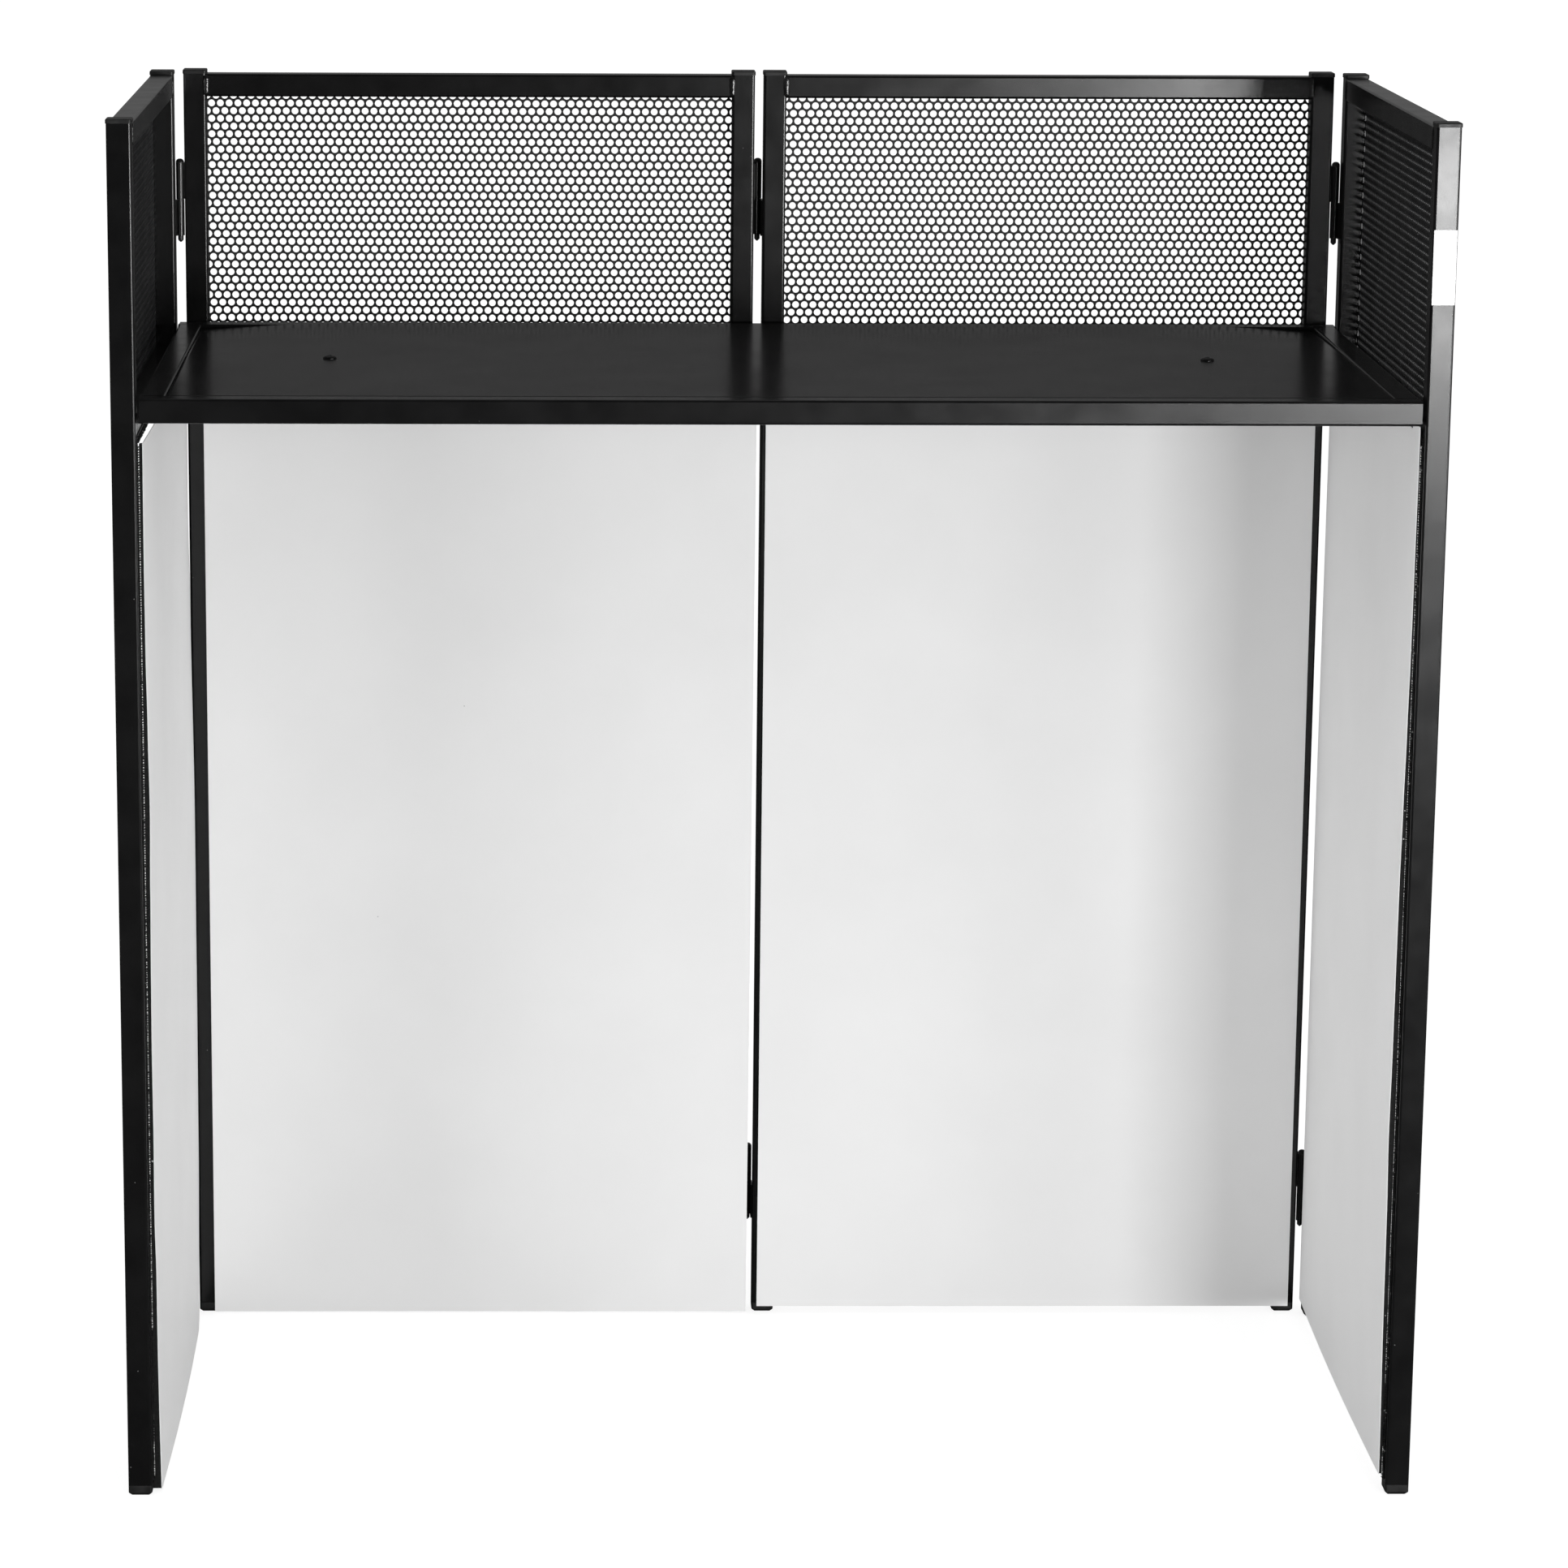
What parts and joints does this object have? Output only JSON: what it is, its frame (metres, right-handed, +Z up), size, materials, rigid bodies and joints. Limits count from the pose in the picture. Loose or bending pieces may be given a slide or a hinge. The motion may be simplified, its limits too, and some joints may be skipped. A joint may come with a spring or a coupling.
{
  "type": "folding dj booth",
  "caption": "Free-standing folding booth of hinged black tube panels with perforated grilles, white lower sheets and a lift-off shelf for audio gear.",
  "frame": {"origin": "on the floor under the middle of the booth's width and depth", "axes": "+Z up, +Y towards the audience, +X to the right of the person who stands behind the booth"},
  "size_m": [1.077, 0.5181, 1.15],
  "materials": {
    "black_steel": "satin black powder coat",
    "pin_steel": "black steel",
    "black_plastic": "matte black",
    "black_board": "black laminate, satin",
    "white_sheet": "matte white stretch cloth",
    "hook_tape": "black hook tape",
    "label_film": "blank white film"
  },
  "bodies": {
    "left_front": {"centre_hinge_pins": "pin_steel", "left_corner_hinge_pins": "pin_steel", "left_front_bottom_rail": "black_steel", "left_front_caps": "black_plastic", "left_front_feet": "black_plastic", "left_front_grille": "black_steel", "left_front_hinge_barrels": "black_steel", "left_front_hook_tape": "hook_tape", "left_front_inner_upright": "black_steel", "left_front_mid_rail": "black_steel", "left_front_outer_upright": "black_steel", "left_front_sheet": "white_sheet", "left_front_top_rail": "black_steel"},
    "right_front": {"right_corner_hinge_pins": "pin_steel", "right_front_bottom_rail": "black_steel", "right_front_caps": "black_plastic", "right_front_feet": "black_plastic", "right_front_grille": "black_steel", "right_front_hinge_barrels": "black_steel", "right_front_hook_tape": "hook_tape", "right_front_inner_upright": "black_steel", "right_front_mid_rail": "black_steel", "right_front_outer_upright": "black_steel", "right_front_sheet": "white_sheet", "right_front_top_rail": "black_steel"},
    "left_wing": {"left_wing_bottom_rail": "black_steel", "left_wing_caps": "black_plastic", "left_wing_far_upright": "black_steel", "left_wing_feet": "black_plastic", "left_wing_grille": "black_steel", "left_wing_hinge_barrels": "black_steel", "left_wing_hook_tape": "hook_tape", "left_wing_mid_rail": "black_steel", "left_wing_near_upright": "black_steel", "left_wing_sheet": "white_sheet", "left_wing_shelf_brackets": "black_steel", "left_wing_top_rail": "black_steel"},
    "right_wing": {"blank_label": "label_film", "right_wing_bottom_rail": "black_steel", "right_wing_caps": "black_plastic", "right_wing_far_upright": "black_steel", "right_wing_feet": "black_plastic", "right_wing_grille": "black_steel", "right_wing_hinge_barrels": "black_steel", "right_wing_hook_tape": "hook_tape", "right_wing_mid_rail": "black_steel", "right_wing_near_upright": "black_steel", "right_wing_sheet": "white_sheet", "right_wing_shelf_brackets": "black_steel", "right_wing_top_rail": "black_steel"},
    "shelf": {"shelf_back_rail": "black_steel", "shelf_board": "black_board", "shelf_braces": "black_steel", "shelf_front_rail": "black_steel", "shelf_left_rail": "black_steel", "shelf_right_rail": "black_steel", "shelf_screws": "pin_steel"}
  },
  "joints": [
    {"name": "centre_fold", "type": "hinge", "parent": "left_front", "child": "right_front", "pos_m": [0, 0.25545, 0.575], "axis": [0, 0, 1], "range_deg": [0, 178]},
    {"name": "left_wing_fold", "type": "hinge", "parent": "left_front", "child": "left_wing", "pos_m": [-0.514, 0.23345, 0.575], "axis": [0, 0, -1], "range_deg": [0, 90]},
    {"name": "right_wing_fold", "type": "hinge", "parent": "right_front", "child": "right_wing", "pos_m": [0.514, 0.23345, 0.575], "axis": [0, 0, 1], "range_deg": [0, 90]},
    {"name": "shelf_lift", "type": "slide", "parent": "left_front", "child": "shelf", "axis": [0, 0, 1], "range_m": [0, 0.35]}
  ]
}
